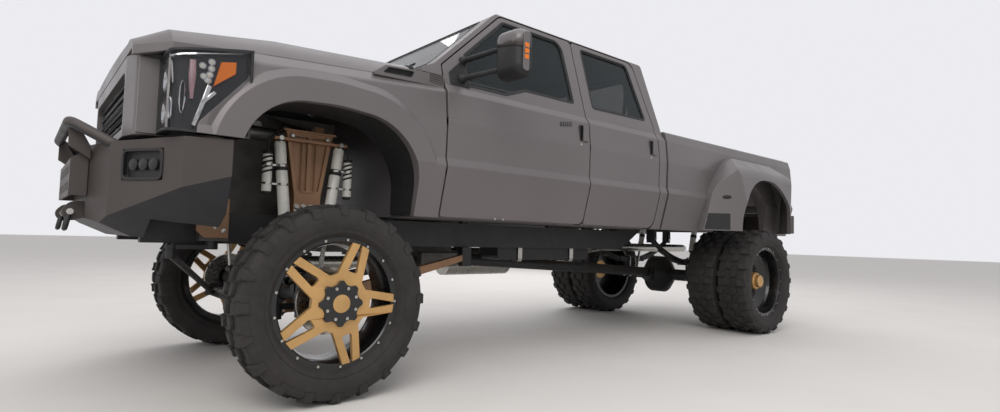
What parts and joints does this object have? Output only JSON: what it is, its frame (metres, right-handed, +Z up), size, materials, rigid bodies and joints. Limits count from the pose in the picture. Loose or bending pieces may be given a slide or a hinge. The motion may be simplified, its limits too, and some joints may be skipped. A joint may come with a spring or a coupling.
{
  "type": "lifted crew-cab dually pickup truck",
  "caption": "Lifted four-door pickup truck with twin rear wheels, wide rear fenders, steel off-road bumper, hinged doors, hood and tailgate, and linked front steering.",
  "frame": {"origin": "on the ground, mid length and mid width of the whole truck", "axes": "-Y is the front of the truck, +X its left (driver's) side, +Z up"},
  "size_m": [2.9, 6.7999, 2.4904],
  "materials": {
    "body_paint": "matte wrap over paint",
    "bumper_paint": "satin textured powder coat",
    "frame_black": "satin black",
    "bronze": "satin bronze powder coat",
    "black_plastic": "grained",
    "tinted_glass": "tinted",
    "tyre_rubber": "matte",
    "wheel_gold": "satin gold over gloss black",
    "cast_metal": "cast",
    "white_paint": "gloss white",
    "bare_steel": "brushed",
    "lamp_lens": "clear lens over dark bezel",
    "red_lens": "gloss",
    "cabin_leather": "grained",
    "aluminium_core": "finned"
  },
  "bodies": {
    "root": {"chassis_frame": "frame_black", "engine_block": "cast_metal", "drive_shafts": "frame_black", "exhaust_pipe": "bare_steel", "fuel_tank": "black_plastic", "front_axle": "frame_black", "rear_axle": "frame_black", "radius_arms": "bronze", "spring_towers": "bronze", "springs": "frame_black", "shock_absorbers": "white_paint", "steering_box": "cast_metal", "radiator": "aluminium_core", "cab_shell": "body_paint", "cab_glass": "tinted_glass", "seat_set": "cabin_leather", "dashboard": "black_plastic", "hinge_straps": "frame_black", "front_fenders": "body_paint", "wheel_liners": "black_plastic", "nose_panel": "body_paint", "grille": "black_plastic", "head_lamps": "lamp_lens", "front_bumper": "bumper_paint", "bull_bar": "bumper_paint", "bed_box": "body_paint", "dually_fenders": "body_paint", "tail_lamps": "red_lens", "rear_bumper": "bumper_paint"},
    "hood": {"hood_panel": "body_paint"},
    "tailgate": {"tailgate_panel": "body_paint"},
    "steering_wheel": {"steering_wheel": "cabin_leather"},
    "steering_links": {"steering_links": "cast_metal"},
    "pitman_arm": {"pitman_arm": "cast_metal"},
    "door_front_left": {"door_panel_front_left": "body_paint", "door_glass_front_left": "tinted_glass", "side_mirror_left": "black_plastic"},
    "door_rear_left": {"door_panel_rear_left": "body_paint", "door_glass_rear_left": "tinted_glass"},
    "knuckle_left": {"knuckle_left": "cast_metal"},
    "wheel_front_left": {"tyre_front_left": "tyre_rubber", "wheel_front_left": "wheel_gold"},
    "wheel_rear_left": {"tyres_rear_left": "tyre_rubber", "wheels_rear_left": "wheel_gold"},
    "door_front_right": {"door_panel_front_right": "body_paint", "door_glass_front_right": "tinted_glass", "side_mirror_right": "black_plastic"},
    "door_rear_right": {"door_panel_rear_right": "body_paint", "door_glass_rear_right": "tinted_glass"},
    "knuckle_right": {"knuckle_right": "cast_metal"},
    "wheel_front_right": {"tyre_front_right": "tyre_rubber", "wheel_front_right": "wheel_gold"},
    "wheel_rear_right": {"tyres_rear_right": "tyre_rubber", "wheels_rear_right": "wheel_gold"}
  },
  "joints": [
    {"name": "steer_left", "type": "hinge", "parent": "root", "child": "knuckle_left", "pos_m": [0.7, -2.26, 0.508], "axis": [0, 0, 1], "range_deg": [-28, 28]},
    {"name": "steer_right", "type": "hinge", "parent": "root", "child": "knuckle_right", "pos_m": [-0.7, -2.26, 0.508], "axis": [0, 0, 1], "range_deg": [-28, 28]},
    {"name": "tie_rod_pivot", "type": "hinge", "parent": "knuckle_left", "child": "steering_links", "pos_m": [0.7, -2.45, 0.43], "axis": [0, 0, 1], "range_deg": [-28, 28]},
    {"name": "pitman_pivot", "type": "hinge", "parent": "root", "child": "pitman_arm", "pos_m": [0.5, -2.74, 0.78], "axis": [0, 0, 1], "range_deg": [-28, 28]},
    {"name": "steering_wheel_turn", "type": "hinge", "parent": "root", "child": "steering_wheel", "pos_m": [0.43, -1.25, 1.65], "axis": [0, 0.8829, 0.4695], "range_deg": [-448, 448]},
    {"name": "roll_front_left", "type": "hinge", "parent": "knuckle_left", "child": "wheel_front_left", "pos_m": [0.935, -2.26, 0.508], "axis": [1, 0, 0], "continuous": true},
    {"name": "roll_rear_left", "type": "hinge", "parent": "root", "child": "wheel_rear_left", "pos_m": [0.95, 2.119, 0.508], "axis": [1, 0, 0], "continuous": true},
    {"name": "door_front_left_hinge", "type": "hinge", "parent": "root", "child": "door_front_left", "pos_m": [0.995, -1.526, 1.445], "axis": [0, 0, -1], "range_deg": [0, 65]},
    {"name": "door_rear_left_hinge", "type": "hinge", "parent": "root", "child": "door_rear_left", "pos_m": [0.995, -0.22, 1.445], "axis": [0, 0, -1], "range_deg": [0, 65]},
    {"name": "roll_front_right", "type": "hinge", "parent": "knuckle_right", "child": "wheel_front_right", "pos_m": [-0.935, -2.26, 0.508], "axis": [1, 0, 0], "continuous": true},
    {"name": "roll_rear_right", "type": "hinge", "parent": "root", "child": "wheel_rear_right", "pos_m": [-0.95, 2.119, 0.508], "axis": [1, 0, 0], "continuous": true},
    {"name": "door_front_right_hinge", "type": "hinge", "parent": "root", "child": "door_front_right", "pos_m": [-0.995, -1.526, 1.445], "axis": [0, 0, 1], "range_deg": [0, 65]},
    {"name": "door_rear_right_hinge", "type": "hinge", "parent": "root", "child": "door_rear_right", "pos_m": [-0.995, -0.22, 1.445], "axis": [0, 0, 1], "range_deg": [0, 65]},
    {"name": "hood_hinge", "type": "hinge", "parent": "root", "child": "hood", "pos_m": [0, -1.76, 1.88], "axis": [-1, 0, 0], "range_deg": [0, 50]},
    {"name": "tailgate_hinge", "type": "hinge", "parent": "root", "child": "tailgate", "pos_m": [0, 3.184, 1.345], "axis": [-1, 0, 0], "range_deg": [0, 90]}
  ],
  "couplings": [
    {"joint": "steer_right", "follows": "steer_left", "ratio": 1},
    {"joint": "tie_rod_pivot", "follows": "steer_left", "ratio": -1},
    {"joint": "pitman_pivot", "follows": "steer_left", "ratio": 1},
    {"joint": "steering_wheel_turn", "follows": "steer_left", "ratio": 16}
  ]
}
